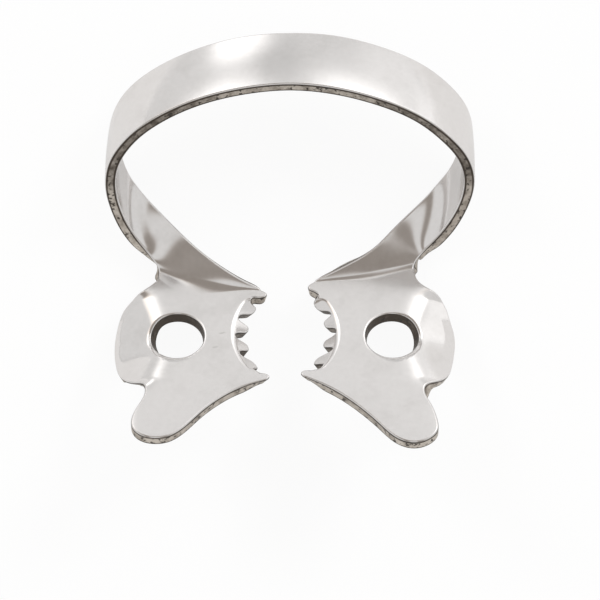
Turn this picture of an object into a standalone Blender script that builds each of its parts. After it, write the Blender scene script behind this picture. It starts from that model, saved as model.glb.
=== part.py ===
"""Rubber dam clamp, winged, for a molar: one stamped and bent stainless steel sheet.

Two toothed jaws with wings, feet and forceps holes are joined by a bow that rises
behind the tooth.  Lengths below are in millimetres and angles in degrees, and the
mesh is in metres.  In the clamp's own frame X runs across the tooth, Y runs away
from the wings' feet towards the bow, and Z rises from the jaws' top face.  The
clamp is then tipped back about X until it rests on its bow and on the two bends
where the arms leave the jaws, which is how it lies on a table.
"""
import bmesh
import bpy
import math
import numpy as np
from mathutils import Vector
from mathutils.geometry import delaunay_2d_cdt

# Driving dimensions

MM = 0.001
SHEET = 0.57                 # thickness of the steel sheet
RIM_ROUND = 0.06             # rounding of the cut rims
HOLE_RADIUS = 1.29           # forceps hole
LEFT_JAW_X = 5.296           # hole centre of the left jaw, left of the bow's middle
RIGHT_JAW_X = 4.677          # hole centre of the right jaw, right of the bow's middle
HOLE_Y = {-1: -0.03, 1: 0.01}
WING_ANGLE = 31.0            # slope of the wings' outer part
WING_RADIUS = 2.7            # bend of the wings
WING_START = 0.05            # bend line at the hole, outward of its centre
WING_START_END = 1.25        # bend line at the wings' ends
TOOTH_ANGLE = 32.0           # slope of the teeth
TOOTH_RADIUS = 0.9           # bend behind the teeth
TOOTH_BEND_AT = 2.37         # bend line of the teeth, inward of the hole centre
TOOTH_BEND_ARC = 3.2         # radius of that line in plan
TOOTH_ARC = 2.96             # radius of the tips' arc in plan
TOOTH_ARC_Y = 0.2            # centre of the tips' arc along Y
TIP_AT = 3.27                # tips at the arc's middle, inward of the hole centre
FLOOR_AT = {-1: 2.69, 1: 2.61}
TOOTH_HALF = 0.27            # half width of a tooth at half its depth
TOOTH_CENTRES = (1.55, 0.55, -0.55, -1.56)
TOOTH_ROW = (2.05, -2.08)    # the toothed stretch between the two prongs
REST_TILT = 31.1             # tip back to the pose at rest
REST_PLACE = (0.075, -4.382, 2.688)   # from the jaws' origin to the footprint's middle
POINT_STEP = 0.36            # spacing of the mesh inside a jaw
RIM_STEP = 0.26              # spacing along a jaw's outline
ARM_ROWS = 92                # rows of the arms and the bow
ARM_COLUMNS = 8              # faces across the arms and the bow
HOLE_POINTS = 32

# Outline of each jaw from the arm's notch round the wing and the foot to the lower
# prong: outward of the hole centre, then along Y.
OUTLINE = {
    -1: ((0.94, 3.30), (1.29, 2.95), (1.94, 2.46), (2.59, 1.87), (2.89, 1.09),
         (3.01, 0.05), (2.92, -1.01), (2.55, -2.00), (1.99, -2.46), (1.59, -2.71),
         (1.51, -3.05), (1.80, -3.87), (2.13, -4.68), (2.08, -5.26), (1.66, -5.69),
         (1.06, -5.84), (0.45, -5.75), (-0.11, -5.41), (-1.04, -4.42), (-2.06, -3.50),
         (-3.13, -2.86), (-4.02, -2.54)),
    1: ((1.07, 3.70), (1.21, 3.29), (1.77, 2.78), (2.33, 2.40), (2.70, 1.72),
        (2.98, 0.79), (2.97, -0.10), (2.86, -0.96), (2.47, -2.11), (1.91, -2.56),
        (1.54, -2.89), (1.56, -3.30), (1.77, -3.76), (2.07, -4.62), (2.09, -5.43),
        (1.63, -5.92), (0.93, -6.09), (0.23, -5.84), (-0.56, -5.06), (-1.49, -4.08),
        (-2.61, -3.15), (-3.35, -2.69), (-4.00, -2.36)),
}
LOWER_PRONG = {-1: ((-4.22, -2.45), (-4.27, -2.31), (-4.16, -2.17), (-3.85, -2.10)),
               1: ((-4.18, -2.27), (-4.24, -2.12), (-4.14, -1.98), (-3.80, -1.96))}
UPPER_PRONG = {-1: ((-3.72, 2.22), (-4.02, 2.27), (-4.15, 2.38), (-4.12, 2.51)),
               1: ((-3.55, 2.56), (-3.78, 2.66), (-3.91, 2.78), (-3.88, 2.96))}

# Sections of the arms and the bow from each jaw to the middle: point on the front
# rim, point on the rear rim (outward, Y, Z), then the sag between them (Y, Z).
ARM = {
    -1: (((6.28, 2.83, 0.00), (1.19, 2.08, 0.00), (-0.46, 0.00)),
         ((6.24, 3.30, 0.00), (1.37, 2.61, 0.00), (-0.64, 0.00)),
         ((6.20, 3.63, 0.02), (1.93, 2.89, 0.10), (-0.50, -0.03)),
         ((6.22, 3.88, 0.07), (2.86, 3.33, 0.38), (-0.29, -0.08)),
         ((6.37, 4.11, 0.19), (3.98, 4.03, 0.78), (-0.14, -0.12)),
         ((6.62, 4.34, 0.42), (5.00, 4.93, 1.12), (-0.02, -0.13)),
         ((6.94, 4.58, 0.80), (5.89, 5.80, 1.46), (-0.03, -0.12)),
         ((7.33, 4.92, 1.21), (6.63, 6.57, 1.72), (0.00, -0.08)),
         ((7.72, 5.33, 1.75), (7.24, 7.25, 2.05), (0.03, -0.04)),
         ((8.03, 5.77, 2.48), (7.70, 7.87, 2.50), (0.00, 0.00)),
         ((8.17, 6.09, 3.30), (7.97, 8.53, 3.10), (0.00, 0.00)),
         ((8.10, 6.43, 4.22), (7.99, 9.14, 3.92), (0.00, 0.00)),
         ((7.77, 6.72, 5.00), (7.72, 9.75, 4.66), (0.00, 0.00)),
         ((7.14, 7.08, 5.73), (7.14, 10.29, 5.30), (0.00, 0.00)),
         ((6.03, 7.68, 6.25), (6.03, 10.90, 5.90), (0.00, 0.00)),
         ((4.16, 8.41, 6.65), (4.16, 11.62, 6.40), (0.00, 0.00)),
         ((1.93, 8.88, 6.88), (1.93, 12.11, 6.66), (0.00, 0.00))),
    1: (((5.77, 3.24, 0.00), (0.81, 2.60, 0.00), (-0.17, 0.00)),
        ((5.75, 3.70, 0.00), (1.00, 3.09, 0.00), (-0.17, 0.00)),
        ((5.72, 3.97, 0.02), (1.56, 3.39, 0.09), (-0.15, -0.03)),
        ((5.78, 4.20, 0.08), (2.49, 3.76, 0.34), (-0.06, -0.08)),
        ((5.94, 4.41, 0.22), (3.65, 4.34, 0.72), (-0.03, -0.12)),
        ((6.20, 4.62, 0.43), (4.72, 5.41, 1.05), (0.04, -0.13)),
        ((6.55, 4.79, 0.80), (5.61, 6.25, 1.40), (0.03, -0.12)),
        ((6.96, 5.06, 1.22), (6.31, 6.91, 1.68), (0.00, -0.08)),
        ((7.40, 5.38, 1.76), (6.91, 7.51, 2.04), (0.03, -0.04)),
        ((7.78, 5.74, 2.45), (7.42, 8.03, 2.48), (0.00, 0.00)),
        ((8.00, 6.08, 3.24), (7.77, 8.57, 3.08), (0.00, 0.00)),
        ((7.97, 6.37, 4.18), (7.93, 9.14, 3.92), (0.00, 0.00)),
        ((7.65, 6.65, 4.98), (7.70, 9.75, 4.66), (0.00, 0.00)),
        ((7.03, 6.96, 5.70), (7.07, 10.30, 5.30), (0.00, 0.00)),
        ((6.03, 7.56, 6.22), (6.03, 10.92, 5.90), (0.00, 0.00)),
        ((4.16, 8.32, 6.63), (4.16, 11.64, 6.39), (0.00, 0.00)),
        ((1.93, 8.85, 6.87), (1.93, 12.14, 6.65), (0.00, 0.00))),
}
BOW_MIDDLE = ((0.0, 9.03, 6.93), (0.0, 12.24, 6.71), (0.0, 0.0))


def spline(knots, values, at):
    """Natural cubic spline through the values at the knots, read at the places."""
    knots = np.asarray(knots, float)
    values = np.asarray(values, float)
    count = len(knots)
    step = np.diff(knots)
    slope = np.diff(values, axis=0) / step[:, None]
    matrix = np.eye(count)
    right = np.zeros_like(values)
    for i in range(1, count - 1):
        matrix[i, i - 1] = step[i - 1]
        matrix[i, i] = 2.0 * (step[i - 1] + step[i])
        matrix[i, i + 1] = step[i]
        right[i] = 6.0 * (slope[i] - slope[i - 1])
    bend = np.linalg.solve(matrix, right)
    at = np.asarray(at, float)
    i = np.clip(np.searchsorted(knots, at, side="right") - 1, 0, count - 2)
    h = step[i][:, None]
    a = (knots[i + 1] - at)[:, None]
    b = (at - knots[i])[:, None]
    cubic = (bend[i] * a ** 3 + bend[i + 1] * b ** 3) / (6.0 * h)
    lower = (values[i] / h - bend[i] * h / 6.0) * a
    upper = (values[i + 1] / h - bend[i + 1] * h / 6.0) * b
    return cubic + lower + upper


def chord_lengths(points):
    """Distance along the points from the first one."""
    steps = np.linalg.norm(np.diff(points, axis=0), axis=1)
    return np.concatenate([[0.0], np.cumsum(steps)])


def smooth_step(start, end, value):
    """Nought before start and one after end, with a soft change between."""
    part = min(max((value - start) / (end - start), 0.0), 1.0)
    return part * part * (3.0 - 2.0 * part)


def bend_drop(distance, radius, angle):
    """How far a sheet has dropped, this far in plan past the start of a bend."""
    arc = radius * math.sin(math.radians(angle))
    inside = min(max(distance, 0.0), arc)
    beyond = max(distance - arc, 0.0)
    return radius - math.sqrt(radius ** 2 - inside ** 2) + beyond * math.tan(math.radians(angle))


def jaw_height(outward, along):
    """Height of a jaw's top face: the wing and the teeth bend down, the foot is flat."""
    spread = math.exp(-((along - 0.1) / 1.9) ** 2)
    wing = WING_START_END - (WING_START_END - WING_START) * spread
    wing += 1.2 * smooth_step(-2.3, -3.6, along)
    wing += 0.9 * smooth_step(2.2, 3.2, along)
    arc = TOOTH_BEND_ARC ** 2 - (along - 0.25) ** 2
    teeth = -TOOTH_BEND_AT - TOOTH_BEND_ARC + math.sqrt(max(arc, 0.5))
    fade = smooth_step(2.75, 2.15, along) * smooth_step(-2.7, -2.15, along)
    return (-bend_drop(outward - wing, WING_RADIUS, WING_ANGLE)
            - fade * bend_drop(teeth - outward, TOOTH_RADIUS, TOOTH_ANGLE))


def tooth_profile(side):
    """Outline of the toothed margin, from the lower prong to the upper one."""
    start, end = TOOTH_ROW
    along = np.linspace(end, start, 46) + TOOTH_ARC_Y
    arc = TOOTH_ARC - np.sqrt(TOOTH_ARC ** 2 - (along - TOOTH_ARC_Y) ** 2)
    plateau = np.zeros_like(along)
    for centre in TOOTH_CENTRES:
        plateau += 1.0 / (1.0 + ((along - TOOTH_ARC_Y - centre) / TOOTH_HALF) ** 6)
    depth = TIP_AT - FLOOR_AT[side]
    outward = -(FLOOR_AT[side] + arc + depth * plateau)
    return np.stack([outward, along], 1)


def arm_knots():
    """All sections from the left jaw over the bow to the right jaw, with places."""
    front, rear, sag = [], [], []
    for side, rows in ((-1, ARM[-1]), (0, (BOW_MIDDLE,)), (1, ARM[1][::-1])):
        for start, end, dip in rows:
            front.append((side * start[0], start[1], start[2]))
            rear.append((side * end[0], end[1], end[2]))
            sag.append((0.0, dip[0], dip[1]))
    front = np.array(front)
    rear = np.array(rear)
    place = 0.5 * (chord_lengths(front) + chord_lengths(rear))
    return place, front, rear, np.array(sag)


def arm_surface(knots, along, across):
    """Points of the arm's inner face: a grid of places along and shares across."""
    place, front, rear, sag = knots
    f = spline(place, front, along)[:, None, :]
    r = spline(place, rear, along)[:, None, :]
    m = spline(place, sag, along)[:, None, :]
    v = np.asarray(across)[None, :, None]
    return f * (1.0 - v) + r * v + m * 6.75 * v * (1.0 - v) ** 2


def jaw_outline(side, seam):
    """Closed outline of a jaw in its own plan; the seam to the arm comes first."""
    rim = np.array(OUTLINE[side])
    place = chord_lengths(rim)
    count = int(place[-1] / RIM_STEP)
    rim = spline(place, rim, np.linspace(0.0, place[-1], count))
    parts = [seam[::-1], rim[1:], np.array(LOWER_PRONG[side]),
             tooth_profile(side), np.array(UPPER_PRONG[side])]
    return np.concatenate(parts)


def inside_outline(point, outline):
    """Whether a point in plan lies inside the closed outline."""
    x, y = point
    inside = False
    count = len(outline)
    for i in range(count):
        x0, y0 = outline[i]
        x1, y1 = outline[(i + 1) % count]
        if (y0 > y) != (y1 > y) and x < (x1 - x0) * (y - y0) / (y1 - y0) + x0:
            inside = not inside
    return inside


def jaw_faces(side, seam_points):
    """Vertices and triangles of a jaw's top face."""
    centre_x = LEFT_JAW_X if side < 0 else RIGHT_JAW_X
    centre_y = HOLE_Y[side]
    seam = np.stack([side * seam_points[:, 0] - centre_x, seam_points[:, 1]], 1)
    outline = jaw_outline(side, seam)
    turn = np.linspace(0.0, 2.0 * math.pi, HOLE_POINTS, endpoint=False)
    hole = HOLE_RADIUS * np.stack([np.cos(turn), np.sin(turn)], 1) + (0.0, centre_y)
    points = [Vector(p) for p in outline] + [Vector(p) for p in hole]
    count = len(outline)
    edges = [(i, (i + 1) % count) for i in range(count)]
    edges += [(count + i, count + (i + 1) % HOLE_POINTS) for i in range(HOLE_POINTS)]
    low = outline.min(axis=0)
    high = outline.max(axis=0)
    clear = 0.55 * POINT_STEP
    row = 0
    y = low[1]
    while y < high[1]:
        x = low[0] + (0.5 * POINT_STEP if row % 2 else 0.0)
        while x < high[0]:
            gap = np.min(np.linalg.norm(outline - (x, y), axis=1))
            from_hole = math.hypot(x, y - centre_y) - HOLE_RADIUS
            if from_hole > clear and gap > clear and inside_outline((x, y), outline):
                points.append(Vector((x, y)))
            x += POINT_STEP
        y += POINT_STEP * 0.87
        row += 1
    flat, _, faces, *_ = delaunay_2d_cdt(points, edges, [], 1, 1e-6)
    kept = []
    for face in faces:
        middle = sum((flat[i] for i in face), Vector((0.0, 0.0))) / len(face)
        if math.hypot(middle.x, middle.y - centre_y) > HOLE_RADIUS * 0.999:
            if inside_outline(middle, outline):
                kept.append(face if side > 0 else face[::-1])
    seam_keys = {(round(p[0], 4), round(p[1], 4)): q for p, q in zip(seam, seam_points)}
    solid = []
    for p in flat:
        key = (round(p.x, 4), round(p.y, 4))
        if key in seam_keys:
            solid.append(tuple(seam_keys[key]))
        else:
            solid.append((side * (p.x + centre_x), p.y, jaw_height(p.x, p.y)))
    return solid, kept


def clamp_surface():
    """The sheet's upper face as one mesh: left jaw, arms with bow, right jaw."""
    knots = arm_knots()
    place = knots[0]
    along = np.linspace(place[1], place[-2], ARM_ROWS + 1)
    across = np.linspace(0.0, 1.0, ARM_COLUMNS + 1)
    grid = arm_surface(knots, along, across)
    vertices = [tuple(p) for p in grid.reshape(-1, 3)]
    faces = []
    width = ARM_COLUMNS + 1
    for i in range(ARM_ROWS):
        for j in range(ARM_COLUMNS):
            corner = i * width + j
            faces.append((corner, corner + 1, corner + width + 1, corner + width))
    for side, row in ((-1, grid[0]), (1, grid[-1])):
        solid, triangles = jaw_faces(side, row)
        start = len(vertices)
        vertices += solid
        faces += [tuple(start + i for i in face) for face in triangles]
    mesh = bpy.data.meshes.new("dam_clamp")
    mesh.from_pydata([[c * MM for c in v] for v in vertices], [], faces)
    work = bmesh.new()
    work.from_mesh(mesh)
    bmesh.ops.remove_doubles(work, verts=work.verts, dist=0.00002)
    bmesh.ops.recalc_face_normals(work, faces=work.faces)
    top = max(work.faces, key=lambda f: f.calc_center_median().z)
    if top.normal.z > 0.0:
        bmesh.ops.reverse_faces(work, faces=work.faces)
    work.to_mesh(mesh)
    work.free()
    return mesh


def steel():
    """Polished stainless steel."""
    material = bpy.data.materials.new("stainless_steel")
    material.use_nodes = True
    shader = material.node_tree.nodes["Principled BSDF"]
    shader.inputs["Base Color"].default_value = (0.62, 0.61, 0.60, 1.0)
    shader.inputs["Metallic"].default_value = 1.0
    shader.inputs["Roughness"].default_value = 0.18
    return material


def build():
    """Make the clamp: surface, thickness, rounded rims, pose at rest."""
    for old in list(bpy.data.objects):
        bpy.data.objects.remove(old)
    parts = bpy.data.collections.new("rubber_dam_clamp")
    bpy.context.scene.collection.children.link(parts)
    mesh = clamp_surface()
    tilt = math.radians(REST_TILT)
    place = [c * MM for c in REST_PLACE]
    for vertex in mesh.vertices:
        x, y, z = vertex.co
        vertex.co = (x + place[0],
                     y * math.cos(tilt) + z * math.sin(tilt) + place[1],
                     z * math.cos(tilt) - y * math.sin(tilt) + place[2])
    clamp = bpy.data.objects.new("dam_clamp", mesh)
    parts.objects.link(clamp)
    mesh.materials.append(steel())
    sheet = clamp.modifiers.new("sheet", "SOLIDIFY")
    sheet.thickness = SHEET * MM
    sheet.offset = -1.0
    sheet.use_even_offset = True
    rim = clamp.modifiers.new("rim", "BEVEL")
    rim.width = RIM_ROUND * MM
    rim.segments = 1
    rim.limit_method = "ANGLE"
    rim.angle_limit = math.radians(50.0)
    mesh.shade_smooth()


build()
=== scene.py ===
# %% [markdown]
# A rubber dam clamp holds a sheet of rubber round a tooth while a dentist works on it.
# It is one stamped strip of stainless steel about 0.6 mm thick: two toothed jaws with
# wings, feet and forceps holes, and a bow that springs them together.  We load the
# imported solid with its transforms applied; the finished piece later takes its place.

# %% Load the frame
import math
import bpy
import numpy as np
from mathutils import Matrix, Vector


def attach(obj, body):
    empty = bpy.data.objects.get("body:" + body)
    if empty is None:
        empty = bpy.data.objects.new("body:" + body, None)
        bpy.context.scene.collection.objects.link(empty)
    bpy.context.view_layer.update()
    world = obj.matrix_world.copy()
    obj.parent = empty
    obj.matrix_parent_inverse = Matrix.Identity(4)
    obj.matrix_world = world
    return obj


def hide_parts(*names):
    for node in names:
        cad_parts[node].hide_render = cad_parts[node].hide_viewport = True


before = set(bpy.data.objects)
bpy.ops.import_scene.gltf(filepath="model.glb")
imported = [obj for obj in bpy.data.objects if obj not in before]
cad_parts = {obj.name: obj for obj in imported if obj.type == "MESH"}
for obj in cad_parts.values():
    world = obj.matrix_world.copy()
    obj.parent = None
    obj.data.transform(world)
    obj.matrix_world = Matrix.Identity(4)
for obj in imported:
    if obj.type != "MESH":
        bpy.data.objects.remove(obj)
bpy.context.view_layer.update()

# %% [markdown]
# Every size is in millimetres, in the clamp's own frame: X across the tooth, Y from
# the feet towards the bow, Z up from the jaws' top face.  The clamp lies on the table
# tipped back on its arms, so one turn about X and one shift bring it to its place.

# %% Sizes and the pose at rest
SHEET = 0.57
ROUND = 0.095
HOLE_RADIUS = 1.24
HOLE_TAPER = 0.06
JAW_X = {-1: 5.296, 1: 4.677}
HOLE_Y = {-1: 0.04, 1: 0.06}
REST_TILT = math.radians(31.1)
REST_PLACE = np.array([0.075, -4.382, 2.688])
TURN = np.array([[1.0, 0.0, 0.0],
                 [0.0, math.cos(REST_TILT), math.sin(REST_TILT)],
                 [0.0, -math.sin(REST_TILT), math.cos(REST_TILT)]])


def at_rest(points):
    """Clamp frame in mm to the table's frame in metres: turned about X, then shifted."""
    return (np.asarray(points) @ TURN.T + REST_PLACE) * 0.001


print("bow tipped back by", round(math.degrees(REST_TILT), 1), "degrees")

# %% [markdown]
# The clamp has hardly a straight run, so most of its rims are splines through a few
# measured points.  Blender's own curves could draw them, but here the points also have
# to be the grid of a surface, so the spline is worked out.  A natural cubic one is the
# curve that a thin batten takes when it is held at those points.

# %% Splines and soft steps


def spline(knots, values, at):
    """Natural cubic spline through values at the knots.

    The second derivatives solve a three-banded system, and are nought at both ends.
    Between two knots the curve is a cubic in the distances to the one and the other.
    """
    knots, values, at = (np.asarray(v, float) for v in (knots, values, at))
    step = np.diff(knots)
    slope = np.diff(values, axis=0) / step[:, None]
    matrix = np.eye(len(knots))
    inner = np.arange(1, len(knots) - 1)
    matrix[inner, inner - 1] = step[:-1]
    matrix[inner, inner] = 2.0 * (step[:-1] + step[1:])
    matrix[inner, inner + 1] = step[1:]
    right = np.zeros_like(values)
    right[1:-1] = 6.0 * np.diff(slope, axis=0)
    bend = np.linalg.solve(matrix, right)
    i = np.clip(np.searchsorted(knots, at, side="right") - 1, 0, len(knots) - 2)
    h = step[i][:, None]
    a = (knots[i + 1] - at)[:, None]
    b = (at - knots[i])[:, None]
    return ((bend[i] * a ** 3 + bend[i + 1] * b ** 3) / (6.0 * h)
            + (values[i] / h - bend[i] * h / 6.0) * a
            + (values[i + 1] / h - bend[i + 1] * h / 6.0) * b)


def chord(points):
    """Running straight-line distance along the points."""
    return np.concatenate([[0.0], np.cumsum(np.linalg.norm(np.diff(points, axis=0), axis=1))])


def resample(points, count):
    """The spline through the points at evenly spaced places along its chord."""
    place = chord(points)
    return spline(place, points, np.linspace(0.0, place[-1], count))


def soft_step(start, end, value):
    """Nought before start, one after end, three t squared less two t cubed between."""
    t = np.clip((value - start) / (end - start), 0.0, 1.0)
    return t * t * (3.0 - 2.0 * t)


print("helpers ready")

# %% [markdown]
# The jaws are flat plates with two bends: each wing turns down beside the forceps
# hole, and the toothed margin turns down towards the root of the tooth.  A Simple
# Deform modifier bends a whole plate, but these bends are short and their lines are
# curved, so a height for each point in plan does it.  Past its line the toothed margin
# drops as a cylinder does, a circle and then a slope, and a wing starts more softly.

# %% Drop past a bend
WING_ANGLE = math.radians(30.0)
WING_BEND_LENGTH = 0.24
TOOTH_BEND_ANGLE = math.radians(28.5)
TOOTH_BEND_RADIUS = 0.6


def bend_drop(distance, radius, angle):
    """Drop past a bend: radius less root(radius^2 - d^2), then a slope of the angle."""
    arc = radius * math.sin(angle)
    inside = np.clip(distance, 0.0, arc)
    beyond = np.clip(distance - arc, 0.0, None)
    return radius - np.sqrt(radius ** 2 - inside ** 2) + beyond * math.tan(angle)


def bend_slope(distance, radius, angle):
    """Slope of that drop: d / root(radius^2 - d^2), and no more than the angle's."""
    inside = np.clip(distance, 0.0, radius * math.sin(angle))
    return inside / np.sqrt(radius ** 2 - inside ** 2)


def soft_bend(distance, length, angle):
    """Drop whose slope grows as a logistic curve: tan(angle) length ln(1 + e^(d / length))."""
    return math.tan(angle) * length * np.logaddexp(0.0, distance / length)


tooth_drop = bend_drop(0.8, TOOTH_BEND_RADIUS, TOOTH_BEND_ANGLE)
print("0.8 mm past its bend a tooth is", round(float(tooth_drop), 2), "mm low")

# %% Height of a jaw's top face
FLOOR_AT = {-1: 2.69, 1: 2.61}
TOOTH_ARC = 2.96
TOOTH_ARC_Y = 0.2
TOOTH_BEND_GAP = 0.24
UPPER_FADE = (2.20, 1.98)
LOWER_FADE = (-1.94, -1.72)


def wing_line(side, y):
    """Where a wing bends: 1.80 less a bell of 0.70 beside the hole, further out at its ends."""
    line = 1.80 - 0.70 * np.exp(-((y - 0.1) / 1.9) ** 2)
    line = line + 1.2 * soft_step(-2.3, -3.6, y) + 0.9 * soft_step(2.2, 3.2, y)
    return line - 0.3 * soft_step(0.2, -1.2, y) if side < 0 else line


def tooth_bend_line(side, y):
    """Where the toothed margin bends: an arc a gap wider than that of the notches."""
    arc = np.clip((TOOTH_ARC + TOOTH_BEND_GAP) ** 2 - (y - TOOTH_ARC_Y) ** 2, 0.5, None)
    return -FLOOR_AT[side] - TOOTH_ARC + np.sqrt(arc)


def jaw_height(side, a, y):
    """Height at a outward of the hole and y along it; wing and teeth bend down."""
    teeth = tooth_bend_line(side, y) - a
    fade = soft_step(*UPPER_FADE, y) * soft_step(*LOWER_FADE, y)
    return (-soft_bend(a - wing_line(side, y), WING_BEND_LENGTH, WING_ANGLE)
            - fade * bend_drop(teeth, TOOTH_BEND_RADIUS, TOOTH_BEND_ANGLE))


def jaw_slopes(side, a, y):
    """The height's slope along a and along y, from small steps either way."""
    e = 0.004
    da = (jaw_height(side, a + e, y) - jaw_height(side, a - e, y)) / (2.0 * e)
    dy = (jaw_height(side, a, y + e) - jaw_height(side, a, y - e)) / (2.0 * e)
    return da, dy


print("wing tip is", round(float(jaw_height(1, np.array(3.0), np.array(0.05))), 2), "mm low")

# %% [markdown]
# The outline of each jaw runs from the notch under the arm round the wing and the
# foot to the lower prong, then up the four teeth to the upper prong.  Hand grinding
# has left the two jaws slightly unlike, so each has its own points and its own teeth.
# The notches lie on an arc, and a rounded bump lifts it to the tip of each tooth: one
# formula keeps the teeth alike, where points for each of them would wander.

# %% Outline of the jaws
OUTLINE = {
    -1: ((0.94, 3.30), (1.29, 2.95), (1.94, 2.46), (2.59, 1.87), (2.89, 1.09),
         (3.01, 0.05), (2.92, -1.01), (2.55, -2.00), (1.99, -2.46), (1.59, -2.71),
         (1.51, -3.05), (1.80, -3.87), (2.13, -4.68), (2.08, -5.26), (1.66, -5.69),
         (1.06, -5.84), (0.45, -5.75), (-0.11, -5.41), (-1.04, -4.42), (-2.06, -3.50),
         (-3.13, -2.86), (-4.02, -2.54)),
    1: ((1.07, 3.70), (1.21, 3.29), (1.77, 2.78), (2.33, 2.40), (2.70, 1.72),
        (2.98, 0.79), (2.97, -0.10), (2.86, -0.96), (2.47, -2.11), (1.91, -2.56),
        (1.54, -2.89), (1.56, -3.30), (1.77, -3.76), (2.07, -4.62), (2.09, -5.43),
        (1.63, -5.92), (0.93, -6.09), (0.23, -5.84), (-0.56, -5.06), (-1.49, -4.08),
        (-2.61, -3.15), (-3.35, -2.69), (-4.00, -2.36)),
}
LOWER_PRONG = {
    -1: ((-4.02, -2.54), (-4.20, -2.46), (-4.27, -2.31), (-4.16, -2.17), (-3.85, -2.10)),
    1: ((-4.00, -2.36), (-4.17, -2.28), (-4.24, -2.12), (-4.14, -1.98), (-3.80, -1.96)),
}
UPPER_PRONG = {
    -1: ((-3.56, 2.24), (-3.80, 2.22), (-4.04, 2.27), (-4.15, 2.38), (-4.12, 2.51),
         (-3.93, 2.61)),
    1: ((-3.42, 2.42), (-3.60, 2.57), (-3.80, 2.67), (-3.91, 2.79), (-3.87, 2.96),
        (-3.68, 3.09)),
}
print("outline points:", [len(OUTLINE[side]) for side in (-1, 1)])

# %% Teeth and rounding of the outline
TOOTH_CENTRES = {-1: np.array([1.47, 0.43, -0.60, -1.62]), 1: np.array([1.66, 0.69, -0.40, -1.33])}
TOOTH_TIPS = {-1: np.array([3.23, 3.29, 3.27, 3.20]), 1: np.array([3.07, 3.11, 3.20, 3.32])}
TOOTH_HALF = 0.31
OUTLINE_POINTS = 250
LOWER_PRONG_POINTS = 15
TOOTH_POINTS = 140
UPPER_PRONG_POINTS = 17
RIM_POINTS = OUTLINE_POINTS + LOWER_PRONG_POINTS + TOOTH_POINTS + UPPER_PRONG_POINTS
FINE_ROUND = 0.065


def tooth_line(side):
    """Toothed margin: the floor's arc plus each depth times (1 - u^2 / 4) / (1 + u^6).

    u is the distance from a tooth's middle in half widths.
    """
    along = np.linspace(-2.02, 2.0, TOOTH_POINTS)
    arc = TOOTH_ARC - np.sqrt(TOOTH_ARC ** 2 - along ** 2)
    u = (along[:, None] - TOOTH_CENTRES[side]) / TOOTH_HALF
    bumps = (1.0 - 0.25 * u ** 2) / (1.0 + u ** 6)
    out = -(FLOOR_AT[side] + arc + bumps @ (TOOTH_TIPS[side] - FLOOR_AT[side]))
    return np.stack([out, along + TOOTH_ARC_Y], 1)


def rim_radius():
    """Rounding along a jaw's outline: fine at the teeth and their prongs."""
    fine = soft_step(OUTLINE_POINTS - 22.0, OUTLINE_POINTS - 4.0, np.arange(RIM_POINTS))
    return ROUND - (ROUND - FINE_ROUND) * fine


def jaw_outline(side, notch, prong):
    """Open outline from the notch to the upper prong, drawn in by the rim's rounding."""
    points = np.concatenate([
        resample(np.array(OUTLINE[side]), OUTLINE_POINTS),
        resample(np.array(LOWER_PRONG[side]), LOWER_PRONG_POINTS + 1)[1:],
        tooth_line(side),
        resample(np.array(UPPER_PRONG[side]), UPPER_PRONG_POINTS + 1)[:-1]])
    along = np.gradient(points, axis=0)
    along /= np.linalg.norm(along, axis=1, keepdims=True)
    inward = np.stack([along[:, 1], -along[:, 0]], 1)
    points = points + rim_radius()[:, None] * inward
    points[0], points[-1] = notch, prong
    return points


print("teeth on each jaw:", len(TOOTH_CENTRES[1]), "between two prongs")

# %% [markdown]
# The arms and the bow are one band that twists as it rises.  A flat strip carried
# along a curve would do for a plain bow, but here both rims have their own course.  So
# each row of the table is a section across: a point on the front rim, a point on the
# rear rim, and the sag between the two, which makes the scoop where an arm leaves its
# jaw.  Splines join the sections: a place along and a share across give a point.

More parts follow.
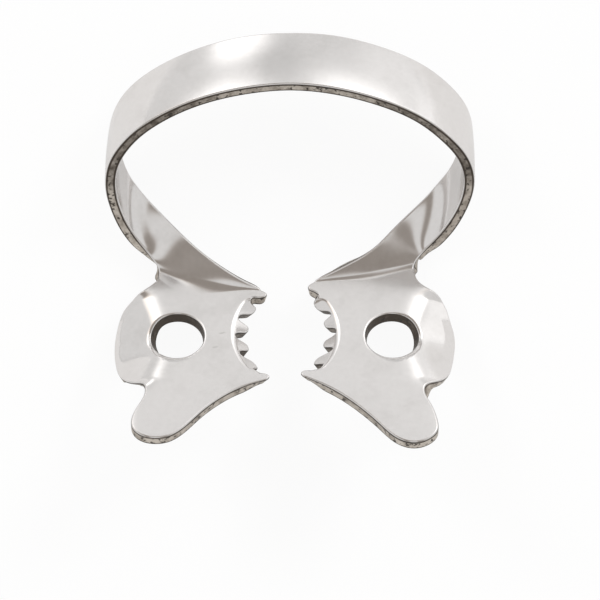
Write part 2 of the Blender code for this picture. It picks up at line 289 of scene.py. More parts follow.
# %% Sections of the arms and the bow
ARM = {
    -1: (((6.28, 2.83, 0.00), (1.19, 2.08, 0.00), (-0.46, 0.00)),
         ((6.24, 3.30, 0.00), (1.37, 2.61, 0.00), (-0.64, 0.00)),
         ((6.20, 3.63, 0.02), (1.93, 2.87, 0.13), (-0.48, -0.045)),
         ((6.22, 3.89, 0.06), (2.86, 3.30, 0.42), (-0.26, -0.12)),
         ((6.37, 4.09, 0.21), (3.98, 4.07, 0.73), (-0.15, -0.11)),
         ((6.62, 4.31, 0.47), (5.00, 5.02, 1.00), (-0.07, -0.07)),
         ((6.94, 4.57, 0.82), (5.89, 5.84, 1.41), (-0.06, -0.08)),
         ((7.33, 4.92, 1.22), (6.63, 6.58, 1.71), (-0.01, -0.07)),
         ((7.72, 5.33, 1.75), (7.24, 7.25, 2.05), (0.03, -0.04)),
         ((8.03, 5.77, 2.48), (7.70, 7.87, 2.50), (0.00, 0.00)),
         ((8.17, 6.09, 3.30), (7.97, 8.53, 3.10), (0.00, 0.00)),
         ((8.10, 6.43, 4.22), (7.99, 9.14, 3.92), (0.00, 0.00)),
         ((7.77, 6.72, 5.00), (7.72, 9.75, 4.66), (0.00, 0.00)),
         ((7.14, 7.08, 5.73), (7.14, 10.29, 5.30), (0.00, 0.00)),
         ((6.03, 7.68, 6.25), (6.03, 10.90, 5.90), (0.00, 0.00)),
         ((4.16, 8.41, 6.65), (4.16, 11.62, 6.40), (0.00, 0.00)),
         ((1.93, 8.88, 6.88), (1.93, 12.11, 6.66), (0.00, 0.00))),
    1: (((5.77, 3.24, 0.00), (0.81, 2.60, 0.00), (-0.17, 0.00)),
        ((5.75, 3.70, 0.00), (1.00, 3.09, 0.00), (-0.17, 0.00)),
        ((5.72, 3.97, 0.02), (1.56, 3.38, 0.10), (-0.15, -0.035)),
        ((5.78, 4.20, 0.09), (2.49, 3.73, 0.39), (-0.06, -0.08)),
        ((5.94, 4.39, 0.25), (3.65, 4.31, 0.76), (-0.06, -0.08)),
        ((6.20, 4.63, 0.41), (4.72, 5.40, 1.06), (-0.01, -0.07)),
        ((6.55, 4.83, 0.75), (5.61, 6.25, 1.39), (0.01, -0.09)),
        ((6.96, 5.09, 1.17), (6.31, 6.90, 1.69), (-0.01, -0.07)),
        ((7.40, 5.38, 1.76), (6.91, 7.51, 2.04), (0.03, -0.04)),
        ((7.78, 5.74, 2.45), (7.42, 8.03, 2.48), (0.00, 0.00)),
        ((8.00, 6.08, 3.24), (7.77, 8.57, 3.08), (0.00, 0.00)),
        ((7.97, 6.37, 4.18), (7.93, 9.14, 3.92), (0.00, 0.00)),
        ((7.65, 6.65, 4.98), (7.70, 9.75, 4.66), (0.00, 0.00)),
        ((7.03, 6.96, 5.70), (7.07, 10.30, 5.30), (0.00, 0.00)),
        ((6.03, 7.56, 6.22), (6.03, 10.92, 5.90), (0.00, 0.00)),
        ((4.16, 8.32, 6.63), (4.16, 11.64, 6.39), (0.00, 0.00)),
        ((1.93, 8.85, 6.87), (1.93, 12.14, 6.65), (0.00, 0.00))),
}
BOW_MIDDLE = ((0.0, 9.03, 6.93), (0.0, 12.24, 6.71), (0.0, 0.0))

runs = ((-1, ARM[-1]), (0, (BOW_MIDDLE,)), (1, ARM[1][::-1]))
sections = [(side, row) for side, rows in runs for row in rows]
FRONT = np.array([(side * row[0][0], row[0][1], row[0][2]) for side, row in sections])
REAR = np.array([(side * row[1][0], row[1][1], row[1][2]) for side, row in sections])
SAG = np.array([(0.0, row[2][0], row[2][1]) for side, row in sections])
PLACE = 0.5 * (chord(FRONT) + chord(REAR))
print("band is", round(PLACE[-2] - PLACE[1], 1), "mm long from jaw to jaw")

# %% The band as a function of place and share


def band(place, share):
    """Front rim times (1 - v), rear rim times v, and the sag times 6.75 v (1 - v)^2."""
    f, r, m = (spline(PLACE, table, place)[:, None, :] for table in (FRONT, REAR, SAG))
    v = share[..., None]
    return f * (1.0 - v) + r * v + m * 6.75 * v * (1.0 - v) ** 2


def band_normal(place, share):
    """Unit cross product of the band's slope across and its slope along."""
    e = 0.002
    along = band(place + e, share) - band(place - e, share)
    across = band(place, share + e) - band(place, share - e)
    n = np.cross(across, along)
    return n / np.linalg.norm(n, axis=-1, keepdims=True)


ROWS, ACROSS = 360, 19
place = np.linspace(PLACE[1], PLACE[-2], ROWS)
ends = band(place, np.tile([0.0, 1.0], (ROWS, 1)))
width = np.linalg.norm(ends[:, 1] - ends[:, 0], axis=1)[:, None]
inset = ROUND / width
share = inset + np.linspace(0.0, 1.0, ACROSS)[None, :] * (1.0 - 2.0 * inset)
band_points = band(place, share)
band_normals = band_normal(place, share)
band_normals[[0, -1]] = (0.0, 0.0, 1.0)
ACROSS_DIRECTION = ((ends[:, 1] - ends[:, 0]) / width)[:, None, :]
print("band grid", band_points.shape[:2], "narrowest", round(float(width.min()), 2), "mm")

# %% [markdown]
# A jaw is a plate with a hole.  A filled curve or a hole cut with a Boolean leaves
# long thin faces that show in polished steel, so the grid is a ring: every line starts
# on the rim of the forceps hole and ends on the outline.  The angle at which it leaves
# the hole is its outline point's own angle, smoothed.  Halfway it passes a calmer copy
# of the outline, drawn inwards, and then the net is relaxed for a fixed number of rounds, and the
# cells turned over are counted.

# %% Smoothing and relaxing a ring
RINGS = 29
RING_PLACE = np.linspace(0.0, 1.0, RINGS)
RELAXING = 160


def smooth_loop(values, reach):
    """Moving average round a closed loop, over this many places to either side."""
    lap = np.concatenate([values[-reach:], values, values[:reach]])
    kernel = np.ones(2 * reach + 1) / (2.0 * reach + 1.0)
    return np.stack([np.convolve(column, kernel, mode="valid") for column in lap.T], 1)


def square_to(loop):
    """Unit direction out of a closed loop in plan, which is run through clockwise."""
    along = np.roll(loop, -1, 0) - np.roll(loop, 1, 0)
    return np.stack([-along[:, 1], along[:, 0]], 1) / np.linalg.norm(along, axis=1, keepdims=True)


def relaxed(plan, rounds):
    """Inner points moved to the balance A(up + down) + C(out + in) = 2B(twist) + 2(A + C)p.

    A and C are the squared steps across and along, and B their product, as in a
    conformal net, where lines of one family never cross.
    """
    for _ in range(rounds):
        after, before = np.roll(plan, -1, 0), np.roll(plan, 1, 0)
        along = 0.5 * (after - before)[:, 1:-1]
        across = 0.5 * (plan[:, 2:] - plan[:, :-2])
        twist = 0.25 * (after[:, 2:] - after[:, :-2] - before[:, 2:] + before[:, :-2])
        a = (across ** 2).sum(2, keepdims=True)
        b = (across * along).sum(2, keepdims=True)
        c = (along ** 2).sum(2, keepdims=True)
        inner = a * (after + before)[:, 1:-1] + c * (plan[:, 2:] + plan[:, :-2]) - 2.0 * b * twist
        plan = np.concatenate([plan[:, :1], inner / (2.0 * (a + c)), plan[:, -1:]], 1)
    return plan


def turned_over(plan):
    """Cells whose corner turns against most of the others: the sign of d1 cross d2."""
    d1 = np.roll(plan, -1, 0) - plan
    d2 = plan[:, 1:] - plan[:, :-1]
    turn = d1[:, :-1, 0] * d2[..., 1] - d1[:, :-1, 1] * d2[..., 0]
    return int((turn * np.sign(np.median(turn)) < 0).sum())


print("rings from hole to outline:", RINGS)

# %% Net of a jaw in plan
HOLE_ROUND = 0.05
ANGLE_REACH = 30
CALM_AT = 0.62
CALM_REACH = 12
CALM_INSET = 0.36


def jaw_net(side):
    """Plan of the ring grid, closed outline, angle of each line and rim count.

    Inside the calm loop a point is hole (1 - n) + calm n, and beyond it the rest of
    the way to the outline.
    """
    row = band_points[0] if side < 0 else band_points[-1]
    seam = np.stack([side * row[:, 0] - JAW_X[side], row[:, 1]], 1)
    rim = jaw_outline(side, seam[0], seam[-1])
    closed = np.concatenate([rim, seam[-2:0:-1]])
    centre = np.array([0.0, HOLE_Y[side]])
    own = np.unwrap(np.arctan2(*(closed - centre).T[::-1]))
    lap = np.concatenate([own[-ANGLE_REACH:] + 2.0 * math.pi, own,
                          own[:ANGLE_REACH] - 2.0 * math.pi])
    kernel = np.ones(2 * ANGLE_REACH + 1) / (2.0 * ANGLE_REACH + 1.0)
    angle = np.convolve(lap, kernel, mode="valid")
    spoke = np.stack([np.cos(angle), np.sin(angle)], 1)
    hole = centre + (HOLE_RADIUS + HOLE_ROUND) * spoke
    calm = smooth_loop(smooth_loop(closed, CALM_REACH), CALM_REACH)
    calm = calm - CALM_INSET * square_to(calm)
    w = RING_PLACE[None, :, None]
    near = np.clip(w / CALM_AT, 0.0, 1.0)
    near = 0.6 * near + 0.4 * near ** 2
    far = np.clip((w - CALM_AT) / (1.0 - CALM_AT), 0.0, 1.0)
    plan = hole[:, None, :] * (1.0 - near) + calm[:, None, :] * near
    plan = relaxed(plan * (1.0 - far) + closed[:, None, :] * far, RELAXING)
    print("jaw", side, "net", plan.shape[:2], "cells turned over:", turned_over(plan))
    return plan, closed, angle, len(rim)


nets = {side: jaw_net(side) for side in (-1, 1)}

# %% [markdown]
# After the stamping the wings' margins were dressed on a wheel and the upper edges of
# the holes with a burr, so a narrow strip along each leans a little more.  Each strip is
# a small bend: the distance past its line gives an extra drop and a lean of the normal.

# %% Dressed margins
MARGIN_WIDTH = {-1: 0.26, 1: 0.50}
MARGIN_ANGLE = math.radians(15.0)
MARGIN_RADIUS = 0.5
DRESSING = (0.05, 0.20)
DRESSING_ANGLE = math.radians(24.0)
DRESSING_RADIUS = 0.4


def margins(side, plan, closed, angle):
    """Extra drop and lean: the wing's strip, and the hole's, wider on its outer side."""
    spoke = np.stack([np.cos(angle), np.sin(angle)], 1)
    to_rim = np.linalg.norm(closed[:, None, :] - plan, axis=2)
    from_hole = np.linalg.norm(plan - plan[:, :1], axis=2)
    late = closed[:, 1]
    held = soft_step(1.9, 1.3, late) * soft_step(-2.0, -1.5, late)
    held = (held * soft_step(1.5, 2.2, closed[:, 0]))[:, None]
    past = MARGIN_WIDTH[side] - to_rim
    drop = held * bend_drop(past, MARGIN_RADIUS, MARGIN_ANGLE)
    lean = (held * bend_slope(past, MARGIN_RADIUS, MARGIN_ANGLE))[..., None]
    lean = lean * square_to(closed)[:, None, :]
    dressed = DRESSING[0] + DRESSING[1] * (0.5 + 0.5 * np.cos(angle + 0.6)) ** 2
    past = dressed[:, None] - from_hole
    drop = drop + bend_drop(past, DRESSING_RADIUS, DRESSING_ANGLE)
    slope = bend_slope(past, DRESSING_RADIUS, DRESSING_ANGLE)[..., None]
    return drop, lean - slope * spoke[:, None, :]


print("margin strips:", MARGIN_WIDTH, "mm on the wings")

# %% Sheet of a jaw
NARROWING = 0.75


def unit(vectors):
    """Vectors divided by their lengths."""
    return vectors / np.linalg.norm(vectors, axis=-1, keepdims=True)


def jaw_grid(side):
    """Points, normals, lower points and rim count of one jaw's sheet.

    The lower face is the upper one less a sheet's thickness along its plain normal,
    which stands a little steeper near the hole, and the hole narrows downwards.
    """
    plan, closed, angle, rim_count = nets[side]
    spoke = np.stack([np.cos(angle), np.sin(angle)], 1)
    w = RING_PLACE[None, :, None]
    a, y = plan[..., 0], plan[..., 1]
    drop, lean = margins(side, plan, closed, angle)
    da, dy = jaw_slopes(side, a, y)
    plain = unit(np.stack([-side * da, -dy, np.ones_like(da)], -1))
    n = unit(np.stack([lean[..., 0] - da, lean[..., 1] - dy, np.ones_like(da)], -1))
    points = np.stack([side * (a + JAW_X[side]), y, jaw_height(side, a, y)], -1)
    plain[..., :2] *= NARROWING + (1.0 - NARROWING) * soft_step(0.0, 0.4, w)
    below = points - SHEET * plain
    drawn_in = HOLE_TAPER * (1.0 - w) ** 8 * spoke[:, None, :]
    below[..., :2] -= drawn_in * np.array([side, 1.0])
    points[..., 2] -= drop
    normals = np.stack([side * n[..., 0], n[..., 1], n[..., 2]], -1)
    print("jaw", side, "reaches", round(float(-points[..., 2].min()), 2), "mm below its plane")
    return points, normals, below, rim_count


jaws = {side: jaw_grid(side) for side in (-1, 1)}

# %% [markdown]
# The three grids become one sheet.  The last ring of each jaw shares its vertices
# with the first or last row of the band, so the sheet has no seam.  The bow's outer
# face is its lower one, and it is crowned: a little thicker along the middle.

# %% One sheet from three grids


def cells(index, closed=False):
    """Four-sided faces of a grid of vertex numbers, wrapped along the first axis."""
    if closed:
        index = np.concatenate([index, index[:1]])
    corners = index[:-1, :-1], index[1:, :-1], index[1:, 1:], index[:-1, 1:]
    return np.stack(corners, -1).reshape(-1, 4)


CROWN = 0.05
from_middle = 2.0 * share - 1.0
tops = [band_points.reshape(-1, 3)]
looks = [band_normals.reshape(-1, 3)]
crown = CROWN * (from_middle ** 2)[..., None]
lows = [tops[0] - (SHEET - crown.reshape(-1, 1)) * looks[0]]
low_looks = unit(band_normals - (4.0 * CROWN * from_middle / width)[..., None] * ACROSS_DIRECTION)
band_index = np.arange(ROWS * ACROSS).reshape(ROWS, ACROSS)
jaw_index = {}
start = ROWS * ACROSS
for side in (-1, 1):
    p, n, low, count = jaws[side]
    index = start + np.arange(p.shape[0] * p.shape[1]).reshape(p.shape[:2])
    seam_row = band_index[0] if side < 0 else band_index[-1]
    index[0, -1] = seam_row[0]
    index[count - 1, -1] = seam_row[-1]
    index[count:, -1] = seam_row[-2:0:-1]
    jaw_index[side] = index
    tops.append(p.reshape(-1, 3))
    looks.append(n.reshape(-1, 3))
    lows.append(low.reshape(-1, 3))
    start += p.shape[0] * p.shape[1]
points = np.concatenate(tops)
normals = np.concatenate(looks)
below = np.concatenate(lows)
print("sheet vertices:", len(points))

# %% Faces and rims of the sheet


def facing(faces):
    """The faces, turned over as one where they look against their normals."""
    p = points[faces]
    n = np.cross(p[:, 1] - p[:, 0], p[:, 2] - p[:, 0])
    flip = (n * normals[faces].mean(1)).sum() < 0.0
    return faces[:, ::-1] if flip else faces


sheet = np.concatenate([facing(cells(band_index)),
                        facing(cells(jaw_index[-1], True)),
                        facing(cells(jaw_index[1], True))])
left_rim, left_next = (jaw_index[-1][:jaws[-1][3], column] for column in (-1, -2))
right_rim, right_next = (jaw_index[1][:jaws[1][3], column] for column in (-1, -2))
outer_loop = np.concatenate([left_rim, band_index[1:-1, -1],
                             right_rim[::-1], band_index[-2:0:-1, 0]])
inner_loop = np.concatenate([left_next, band_index[1:-1, -2],
                             right_next[::-1], band_index[-2:0:-1, 1]])
loops = [(outer_loop, inner_loop)]
loops += [(jaw_index[side][:, 0], jaw_index[side][:, 1]) for side in (-1, 1)]
print("sheet:", len(sheet), "faces; rims:", [len(loop) for loop, inside in loops])

# %% [markdown]
# The press left its walls upright almost everywhere, but a few stretches lean: the
# walls under the arms, where the sheet was drawn out, the nick between each wing and
# its foot, which was filed at a slant, and the ends of the prongs, ground to a taper
# from below.  Along those stretches the lower rim is shifted in plan.

# %% Direction out of the sheet


def away(loop, inside):
    """Unit direction out of the sheet at each rim vertex, square to rim and normal."""
    along = np.roll(points[loop], -1, 0) - np.roll(points[loop], 1, 0)
    out = unit(np.cross(along, normals[loop]))
    return out * np.sign((out * (points[loop] - points[inside])).sum())


outwards = away(*loops[0])
front = len(outer_loop) - (ROWS - 2) + np.arange(ROWS - 2)
rear = len(left_rim) + np.arange(ROWS - 2)
from_end = np.minimum(place - PLACE[1], PLACE[-2] - place)[-2:0:-1]
print("arms and bow rim vertices:", len(front), "in front,", len(rear), "behind")

# %% Walls that lean
FRONT_REACH = 0.20
REAR_REACH = -0.14
SLANTS = (  # place in plan, whole shift within, none beyond, shift of the lower rim
    ((JAW_X[1] + 1.56, -2.90), 0.15, 0.70, (0.03, -0.46, 0.0)),
    ((-JAW_X[-1] - 2.25, -2.30), 0.45, 0.90, (0.06, 0.26, 0.0)),
    ((JAW_X[1] - 4.20, -2.18), 0.05, 1.40, (0.20, 0.15, 0.0)),
    ((4.20 - JAW_X[-1], -2.36), 0.05, 1.40, (-0.20, 0.15, 0.0)),
    ((JAW_X[1] - 3.90, 2.85), 0.10, 0.40, (0.07, 0.0, 0.0)),
    ((4.14 - JAW_X[-1], 2.40), 0.10, 0.40, (-0.10, 0.0, 0.0)),
)
reach = np.zeros(len(outer_loop))
reach[front] = FRONT_REACH * soft_step(0.0, 0.6, from_end) * soft_step(7.0, 4.0, from_end)
reach[rear] = REAR_REACH * soft_step(3.6, 1.8, from_end)
shift = np.zeros_like(points)
shift[outer_loop] = reach[:, None] * outwards
for spot, near, far, slant in SLANTS:
    gap = np.linalg.norm(points[outer_loop][:, :2] - np.array(spot), axis=1)
    shift[outer_loop] += soft_step(far, near, gap)[:, None] * np.array(slant)
print("walls lean by up to", round(float(np.linalg.norm(shift, axis=1).max()), 2), "mm")

# %% The shift fades into the lower face
BAND_FALL = 6
JAW_FALL = 10
front_shift, rear_shift = (shift[band_index[:, column]][:, None, :] for column in (0, -1))
shift[band_index] = (front_shift * (1.0 - share[..., None]) ** BAND_FALL
                     + rear_shift * share[..., None] ** BAND_FALL)
for side in (-1, 1):
    ring = jaw_index[side]
    fall = RING_PLACE[None, :, None] ** JAW_FALL
    shift[ring[:, :-1]] = (shift[ring[:, -1]][:, None, :] * fall)[:, :-1]
below = below + shift
print("lower face shifted at", int((np.abs(shift).max(1) > 0.001).sum()), "vertices")

# %% [markdown]
# A rim of stamped sheet is a plain wall with slightly rounded corners.  Solidify and
# Bevel would give every rim the same wall and corner, but these lean and are rounded
# unevenly.  At each rim vertex we know the face's normal and the direction out of the
# sheet, so a quarter circle leads from the upper face to the wall, and another one
# from the wall to the lower face.

# %% Section of a rim
CORNER = np.linspace(0.0, math.pi / 2.0, 4)
WALL = np.linspace(0.0, 1.0, 4)[1:-1]


def quarter(p, n, out, radius):
    """Corner of a rim: p + r (sin t out - (1 - cos t) n), with its normals."""
    s, c = np.sin(CORNER)[None, :, None], np.cos(CORNER)[None, :, None]
    p, n, out, radius = p[:, None, :], n[:, None, :], out[:, None, :], radius[:, None, None]
    return p + radius * (s * out - (1.0 - c) * n), s * out + c * n


def rim_band(loop, inside, radius):
    """Rim section at each vertex of a loop: corner, wall as a straight mix, corner."""
    n = normals[loop]
    out = away(loop, inside)
    top, top_look = quarter(points[loop], n, out, radius)
    low, low_look = quarter(below[loop], -n, out, radius)
    low, low_look = low[:, ::-1], low_look[:, ::-1]
    t = WALL[None, :, None]
    wall = top[:, -1:] * (1.0 - t) + low[:, :1] * t
    drop = unit(top[:, -1] - low[:, 0])
    wall_look = unit(out - (out * drop).sum(1, keepdims=True) * drop)
    top_look[:, -1], low_look[:, 0] = wall_look, wall_look
    wall_looks = np.repeat(wall_look[:, None, :], len(WALL), 1)
    section = np.concatenate([top, wall, low], 1)
    return section, np.concatenate([top_look, wall_looks, low_look], 1)


print("rim section:", 2 * len(CORNER) + len(WALL), "points")

# %% [markdown]
# The cut steel isn't equally dark all round.  The walls of the teeth are made dark and
# those of the holes nearly black, the rear walls of the arms and the bow a little dark,
# and a stretch of the front walls beside the bow darker.  So each rim vertex keeps how far
# it is cut steel, how dark it is, and how deep it lies in the wall, and the material reads
# these three attributes; the depth also places painted dark reflection lines at the corners.

# %% Rounding and darkness along the rims
# How dark each stretch of the rim's wall is made.
TOOTH_WALL_DARKNESS = 0.75
REAR_WALL_DARKNESS = 0.25
far_start = len(left_rim) + ROWS - 2
tooth_start = OUTLINE_POINTS + LOWER_PRONG_POINTS
stretch = np.zeros(len(left_rim))
stretch[tooth_start + 4:tooth_start + TOOTH_POINTS - 12] = TOOTH_WALL_DARKNESS
stretch = np.convolve(stretch, np.ones(5) / 5.0, mode="same")
rim_darkness = np.zeros(len(outer_loop))
rim_darkness[:len(left_rim)] = stretch
rim_darkness[far_start:far_start + len(right_rim)] = stretch[::-1]
rim_darkness[rear] = REAR_WALL_DARKNESS
rim_darkness[front] = 0.1 + 0.5 * soft_step(6.5, 8.5, from_end) * soft_step(15.5, 12.5, from_end)
outer_round = np.full(len(outer_loop), ROUND)
outer_round[:len(left_rim)] = rim_radius()
outer_round[far_start:far_start + len(right_rim)] = rim_radius()[::-1]
rounds = [outer_round] + [np.full(len(loop), HOLE_ROUND) for loop, inside in loops[1:]]
darks = [rim_darkness] + [np.ones(len(loop)) for loop, inside in loops[1:]]
cut_share = np.array([0.0, 0.15, 0.6, 1.0] + [1.0] * len(WALL) + [1.0, 0.6, 0.15, 0.0])
depths = np.concatenate([[0.0, 0.0, 0.05, 0.1], 0.1 + 0.8 * WALL, [0.9, 0.95, 1.0, 1.0]])
print("mean darkness of the long rim:", round(float(rim_darkness.mean()), 2))

# %% Close the shell
count = len(points)
under = normals.copy()
under[band_index[1:-1]] = low_looks[1:-1]
all_points = [points, below]
all_normals = [normals, -under]
marks = [np.zeros((2 * count, 3))]
faces = [sheet, sheet[:, ::-1] + count]
start = 2 * count
for (loop, inside), radius, dark in zip(loops, rounds, darks):
    section, look = (part[:, 1:-1] for part in rim_band(loop, inside, radius))
    size = section.shape[:2]
    index = start + np.arange(size[0] * size[1]).reshape(size)
    index = np.concatenate([loop[:, None], index, loop[:, None] + count], 1)
    start += size[0] * size[1]
    all_points.append(section.reshape(-1, 3))
    all_normals.append(look.reshape(-1, 3))
    mark = np.broadcast_arrays(cut_share[None, 1:-1], dark[:, None], depths[None, 1:-1])
    marks.append(np.stack(mark, -1).reshape(-1, 3))
    quads = cells(index, True)
    p = np.concatenate(all_points)
    mean_look = np.concatenate(all_normals)[quads].mean(1)
    turn = np.cross(p[quads[:, 1]] - p[quads[:, 0]], p[quads[:, 3]] - p[quads[:, 0]])
    faces.append(quads if (turn * mean_look).sum() > 0.0 else quads[:, ::-1])
all_points = np.concatenate(all_points)
all_normals = np.concatenate(all_normals)
marks = np.concatenate(marks)
used, faces = np.unique(np.concatenate(faces), return_inverse=True)
faces = faces.reshape(-1, 4)
print("closed shell:", len(used), "vertices,", len(faces), "faces")

# %% Put the shell into a mesh
mesh = bpy.data.meshes.new("clamp")
mesh.from_pydata(at_rest(all_points[used]), [], faces)
for number, name in enumerate(("cut", "rim_darkness", "depth")):
    mark = mesh.attributes.new(name, "FLOAT", "POINT")
    mark.data.foreach_set("value", marks[used, number].astype(np.float32))
mesh.shade_smooth()
mesh.normals_split_custom_set_from_vertices(all_normals[used] @ TURN.T)
clamp = bpy.data.objects.new("clamp", mesh)
bpy.context.scene.collection.objects.link(clamp)
print("mesh valid:", not mesh.validate())
print("size, mm:", [round(1000 * d, 2) for d in clamp.dimensions])

# %% [markdown]
# Shader maths reads best as plain sums.  One class wraps a node tree and has the one
# method that makes any node.  Another wraps a socket, so that writing a + b or 1 - a
# adds the Math node.

# %% A node tree and its one node maker


class Finish:
    """A material's or the world's tree, with one method that makes any node."""

    def __init__(self, owner):
        owner.use_nodes = True
        self.tree = owner.node_tree

    def put(self, slot, value):
        """A link for a wrapped socket, or a plain value."""
        if isinstance(value, Value):
            self.tree.links.new(value.socket, slot)
        else:
            slot.default_value = value

    def make(self, kind, sockets=(), settings=(), output=0):
        """A node: settings first, then sockets by name or number, then one output."""
        node = self.tree.nodes.new("ShaderNode" + kind)
        for name, value in dict(settings).items():
            setattr(node, name, value)
        for name, value in dict(sockets).items():
            self.put(node.inputs[name], value)
        return Value(self, node.outputs[output])

    def set(self, name, sockets):
        """Values or links for a node that is there already, such as the shader."""
        for slot, value in sockets.items():
            self.put(self.tree.nodes[name].inputs[slot], value)

    def parts(self, vector):
        """The three parts of a vector, from one node."""
        node = self.make("SeparateXYZ", {"Vector": vector}).socket.node
        return [Value(self, output) for output in node.outputs]

    def noise(self, where, scale, detail=3.0, roughness=0.55):
        """Soft noise, so many lumps to the metre."""
        return self.make("TexNoise", {"Vector": where, "Scale": scale, "Detail": detail,
                                      "Roughness": roughness})

    def mark(self, name):
        """A number that the mesh keeps at each vertex."""
        return self.make("Attribute", settings={"attribute_name": name}, output=2)

    def mix(self, share, first, second):
        """The first colour at nought, the second at one."""
        return self.make("Mix", {0: share, 6: first, 7: second}, {"data_type": "RGBA"}, 2)


print("node maker ready")

# %% Sockets as numbers


class Value:
    """A socket of a shader tree that can be added, multiplied and so on."""

    def __init__(self, finish, socket):
        self.finish = finish
        self.socket = socket

    def maths(self, operation, other, swap=False):
        """A Math node on this socket and another value, or the other way round."""
        pair = (other, self) if swap else (self, other)
        return self.finish.make("Math", enumerate(pair), {"operation": operation})

    def __add__(self, other):
        return self.maths("ADD", other)

    def __radd__(self, other):
        return self.maths("ADD", other, swap=True)

    def __sub__(self, other):
        return self.maths("SUBTRACT", other)

    def __rsub__(self, other):
        return self.maths("SUBTRACT", other, swap=True)

    def __mul__(self, other):
        return self.maths("MULTIPLY", other)

    def __rmul__(self, other):
        return self.maths("MULTIPLY", other, swap=True)

    def __truediv__(self, other):
        return self.maths("DIVIDE", other)

    def __rtruediv__(self, other):
        return self.maths("DIVIDE", other, swap=True)

    def __pow__(self, other):
        return self.maths("POWER", other)

    def __rpow__(self, other):
        return self.maths("POWER", other, swap=True)

    def __abs__(self):
        return self.maths("ABSOLUTE", 0.0)

    def at_least(self, other):
        """The larger of the two."""
        return self.maths("MAXIMUM", other)

    def step(self, low, high):
        """Nought below low, one above high, smooth between."""
        return self.finish.make("MapRange", {"Value": self, "From Min": low, "From Max": high},
                                {"interpolation_type": "SMOOTHSTEP"})


print("socket class ready")

# %% [markdown]
# The faces are polished bright, with a faint unevenness that makes reflections waver
# and a few fine smudges.  The cut rims keep the tool's marks: they are duller, brown
# grey, and pitted with small dark holes.  A painted image would need the sheet
# unwrapped and would blur close up, so noise on the piece's own coordinates gives all
# of it, and the three vertex attributes say where each belongs.

# %% Marks on the steel
steel = bpy.data.materials.new("polished_steel")
finish = Finish(steel)
where = finish.make("TexCoord", output=3)
cut = finish.mark("cut").step(0.3, 0.75)
rim_darkness_mark = finish.mark("rim_darkness")
depth = finish.mark("depth")
smudge = finish.noise(where, 700.0, detail=4.0).step(0.45, 0.75)
haze = finish.noise(where, 260.0, detail=2.0)
grain = finish.noise(where, 5200.0, detail=2.0)
pits = finish.noise(where, 4600.0, detail=2.0, roughness=0.6).step(0.555, 0.64)
mottle = finish.noise(where, 2100.0, detail=4.0, roughness=0.65)
patch = finish.noise(where, 600.0, detail=2.0)
waver = finish.noise(where, 330.0, detail=1.0)
print("noises on", steel.name)

# %% Two small scuffs on the left plate
SCUFFS = ((-3.23, 0.17, 0.15, 0.035), (-3.56, -0.64, 0.13, 0.045))
SLOPE = 0.2


def scuff_mark(x, y, long, thin):
    """One inside a slanting ellipse of these half lengths, nought outside it."""
    spot = at_rest([x, y, 0.0])
    aside, ahead = (part - middle for part, middle in zip(finish.parts(where), spot[:2]))
    across = (ahead - aside * SLOPE) / (thin * 0.001)
    return ((aside / (long * 0.001)) ** 2.0 + across ** 2.0).step(1.4, 0.4)


first_scuff, second_scuff = (scuff_mark(*scuff) for scuff in SCUFFS)
scuff = first_scuff.at_least(second_scuff)
print("scuffs:", len(SCUFFS))

# %% Colours of the faces and of the cut rims
BRIGHT = (0.785, 0.764, 0.752, 1.0)
DULL = (0.64, 0.618, 0.60, 1.0)
CUT_LIGHT = (0.62, 0.57, 0.51, 1.0)
CUT_BROWN = (0.36, 0.32, 0.275, 1.0)
# Dark colour of the cut walls, used also for the painted dark reflection lines along their
# corners.
WALL_DARK_AND_PAINTED_REFLECTION = (0.055, 0.041, 0.029, 1.0)
PIT = (0.03, 0.025, 0.02, 1.0)
dull = smudge * 0.3 + grain * 0.45 + scuff * 0.9 * (1.0 - cut)
# Painted reflection: dark lines along both corners of each wall, where the rounded rim leaves the
# face.
painted_edge_reflection = abs(depth - 0.5).step(0.24, 0.42)
# The walls' darkness, random mottling and the painted reflection lines add up to the share of the
# dark colour.
wall_dark_and_painted_reflection = rim_darkness_mark + (mottle - 0.5) * 0.9 + (patch - 0.5) * 0.5 + painted_edge_reflection * 0.9
wall_dark_and_painted_reflection = wall_dark_and_painted_reflection.step(0.1, 1.0)
wall_colour = finish.mix(mottle.step(0.35, 0.7), CUT_LIGHT, CUT_BROWN)
wall_colour = finish.mix(wall_dark_and_painted_reflection, wall_colour, WALL_DARK_AND_PAINTED_REFLECTION)
wall_colour = finish.mix(pits * 0.85, wall_colour, PIT)
colour = finish.mix(cut, finish.mix(dull, BRIGHT, DULL), wall_colour)
print("colours mixed")

# %% Polished steel with cut rims
height = (waver * 0.8 + grain * 0.003) * (1.0 - cut) + (mottle * 0.3 - pits * 0.5) * cut
bump = finish.make("Bump", {"Strength": 0.25, "Distance": 0.00003, "Height": height})
finish.set("Principled BSDF", {"Base Color": colour,
                               "Metallic": 1.0 - cut * wall_dark_and_painted_reflection * 0.6,
                               "Roughness": 0.12 + haze * 0.06 + cut * 0.27,
                               "Normal": bump})
mesh.materials.append(steel)
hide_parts("dam_clamp")
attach(clamp, "root")
print("steel on", clamp.name)

# %% [markdown]
# The clamp lies on a plain white table.  To the camera the table is nearly as bright
# as white paper, with a share of its real shading left, so that the shadow stays.

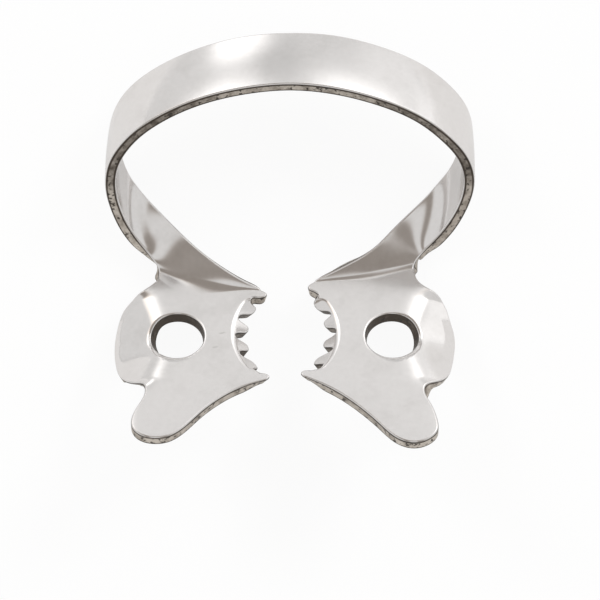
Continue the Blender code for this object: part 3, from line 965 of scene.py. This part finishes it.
# %% Table
TABLE_HALF = 0.6
table_mesh = bpy.data.meshes.new("table")
corners = [(x * TABLE_HALF, y * TABLE_HALF, 0.0) for x, y in ((-1, -1), (1, -1), (1, 1), (-1, 1))]
table_mesh.from_pydata(corners, [], [(0, 1, 2, 3)])
table = bpy.data.objects.new("table", table_mesh)
bpy.context.scene.collection.objects.link(table)
paper = bpy.data.materials.new("white_paper")
page = Finish(paper)
page.set("Principled BSDF", {"Base Color": (0.9, 0.9, 0.9, 1.0), "Roughness": 0.9})
ray = page.make("LightPath", output=0)
glossy = page.make("LightPath", output=3)
white = page.make("Emission", {"Color": (1.0, 1.0, 1.0, 1.0), "Strength": 1.0})
shaded = Value(page, page.tree.nodes["Principled BSDF"].outputs[0])
blend = page.make("MixShader", {0: ray * 0.91 + glossy * 0.35, 1: shaded, 2: white})
page.set("Material Output", {"Surface": blend})
table_mesh.materials.append(paper)
print("table", 2 * TABLE_HALF, "m wide")

# %% [markdown]
# Metal shows only what surrounds it, so the studio matters.  Real panels could be
# built round the table, but a tone for each direction is easier to tune: a pale tent
# with warm dark boxes overhead, where the camera's stand hangs, a dark line along the
# horizon, and round soft lights in the north for the bright streaks on the bow, the
# wings and the bends.

# %% Dark boxes and round lights of the studio
world = bpy.data.worlds.new("studio")
bpy.context.scene.world = world
sky = Finish(world)
direction = sky.make("TexCoord", output=0)
east, north, up = sky.parts(direction)
camera_ray = sky.make("LightPath", output=0)


def zone(west, to_east, south, to_north, soft=0.06):
    """One inside a soft-edged box of east and north, nought outside: four steps multiplied."""
    return (east.step(west - soft, west + soft) * east.step(to_east + soft, to_east - soft)
            * north.step(south - soft, south + soft)
            * north.step(to_north + soft, to_north - soft))


def round_light(towards, inner, outer):
    """A soft round light: one within the inner angle, nought past the outer one."""
    cosine = sky.make("VectorMath", {0: direction, 1: Vector(towards).normalized()},
                      {"operation": "DOT_PRODUCT"}, "Value")
    return cosine.step(*(math.cos(math.radians(angle)) for angle in (outer, inner)))


hood = zone(-0.46, -0.20, -0.85, 0.84).at_least(zone(0.17, 0.51, -0.92, 0.26))
hood = hood.at_least(zone(-0.46, 0.14, 0.37, 0.84)) * up.step(0.0, 0.2)
seam = (1.0 - up.step(0.0, 0.035)) * abs(east).step(0.58, 0.66)
gap = east.step(-0.13, -0.05) * east.step(0.022, 0.008) * up.step(0.1, 0.16) * up.step(0.36, 0.31)
high = (round_light((-0.30, 0.88, 0.37), 5.0, 16.0) * 1.2
        + round_light((0.31, 0.875, 0.37), 6.0, 18.0) * 1.3)
low = (round_light((-0.14, 0.98, 0.12), 3.0, 7.0) * 1.0
       + round_light((0.70, 0.70, 0.14), 6.0, 20.0) * 0.42
       + round_light((0.36, 0.92, 0.16), 5.0, 13.0) * 0.20)
lights = high * up.step(0.25, 0.36) + low
print("studio has 3 dark boxes and 5 round lights")

# %% Tone of the studio
TENT = 0.84
WARMTH = {"Red": 0.08, "Green": -0.02, "Blue": -0.11}
tone = TENT * (1.0 - hood * 0.62) * (1.0 - seam * 0.55) * (1.0 - gap * 0.22) + lights
channels = {name: tone * (1.0 + hood * warm) * (1.0 - camera_ray) + camera_ray
            for name, warm in WARMTH.items()}
sky.set("Background", {"Color": sky.make("CombineColor", channels), "Strength": 1.0})
print("tent tone", TENT, "and white to the camera")

# %% [markdown]
# Two lamps high at the back give the table its soft shadow.  They don't show in the
# metal, because there the studio's own lights already stand for them.

# %% Lamps


def softbox(name, towards, size, power, distance=0.35):
    """A square area lamp that looks at the clamp from the given direction."""
    towards = Vector(towards).normalized()
    lamp = bpy.data.lights.new(name, "AREA")
    lamp.size = size
    lamp.energy = power
    holder = bpy.data.objects.new(name, lamp)
    bpy.context.scene.collection.objects.link(holder)
    holder.location = Vector((0.0, 0.0, 0.003)) + towards * distance
    holder.rotation_mode = "QUATERNION"
    holder.rotation_quaternion = towards.to_track_quat("Z", "Y")
    holder.visible_glossy = False
    print(name, round(1000 * size), "mm wide,", power, "W")


softbox("left_box", (-0.62, 0.56, 0.55), 0.10, 0.28)
softbox("right_box", (0.62, 0.56, 0.55), 0.12, 0.42)

# %% [markdown]
# The camera looks at the jaws' plane from 53.6 degrees above it, which is nearly
# straight down on the table, and from so far away that it shows almost no perspective.

# %% Camera
VIEW = math.radians(53.6)
PIXELS = 600.0
PIXELS_PER_MM = 21.49
CENTRE = np.array([8.5, 36.0]) / PIXELS_PER_MM
DISTANCE = 0.7


def clamp_direction(x, y, z):
    """A direction in the clamp's own frame, turned into the table's frame."""
    return Vector(TURN @ np.array([x, y, z])).normalized()


looking = clamp_direction(0.0, -math.cos(VIEW), math.sin(VIEW))
upward = clamp_direction(0.0, math.sin(VIEW), math.cos(VIEW))
aim = at_rest([CENTRE[0], CENTRE[1] * math.sin(VIEW), CENTRE[1] * math.cos(VIEW)])
camera = bpy.data.cameras.new("camera")
camera.lens = camera.sensor_width * DISTANCE / (PIXELS / PIXELS_PER_MM * 0.001)
camera.clip_start = 0.01
camera.clip_end = 5.0
eye = bpy.data.objects.new("camera", camera)
bpy.context.scene.collection.objects.link(eye)
pose = Matrix((upward.cross(looking), upward, looking)).transposed().to_4x4()
pose.translation = Vector(aim) + looking * DISTANCE
eye.matrix_world = pose
bpy.context.scene.camera = eye
bpy.context.scene.view_settings.view_transform = "Standard"
print("camera", round(camera.lens), "mm lens, elevation",
      round(math.degrees(math.asin(looking.z)), 1))
